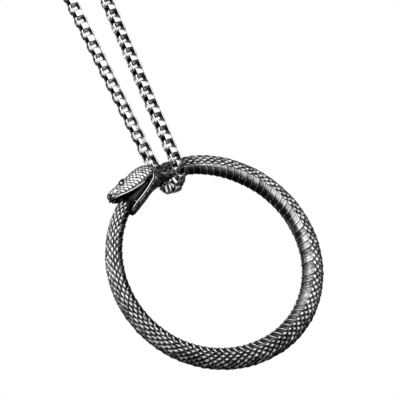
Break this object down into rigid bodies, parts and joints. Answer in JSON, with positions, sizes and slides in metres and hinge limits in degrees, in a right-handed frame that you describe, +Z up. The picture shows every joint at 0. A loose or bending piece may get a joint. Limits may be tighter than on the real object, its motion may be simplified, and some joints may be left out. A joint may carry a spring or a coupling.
{
  "type": "snake pendant on a box chain",
  "caption": "Cast snake curled into a ring with its tail in its open mouth, hanging free in the bottom bend of a box chain necklace with a clasp",
  "frame": {"origin": "inside of the chain's top bend, where the necklace hangs over a peg", "axes": "+Z up along the hanging necklace; the snake ring's face looks along -Y; the snake's head is left of the top, towards -X"},
  "size_m": [0.0554, 0.0122, 0.2732],
  "materials": {
    "antiqued_steel": "cast stainless steel, blackened in the grooves and polished on the raised edges",
    "polished_steel": "polished stainless steel"
  },
  "bodies": {
    "chain": {"box_chain": "polished_steel", "lobster_clasp": "polished_steel", "clasp_ring": "polished_steel", "end_ring": "polished_steel"},
    "pendant": {"snake_ring": "antiqued_steel"}
  },
  "joints": [
    {"name": "ring_swing", "type": "hinge", "parent": "chain", "child": "pendant", "pos_m": [0, 0, -0.21725], "axis": [1, 0, 0], "range_deg": [-90, 90]}
  ]
}
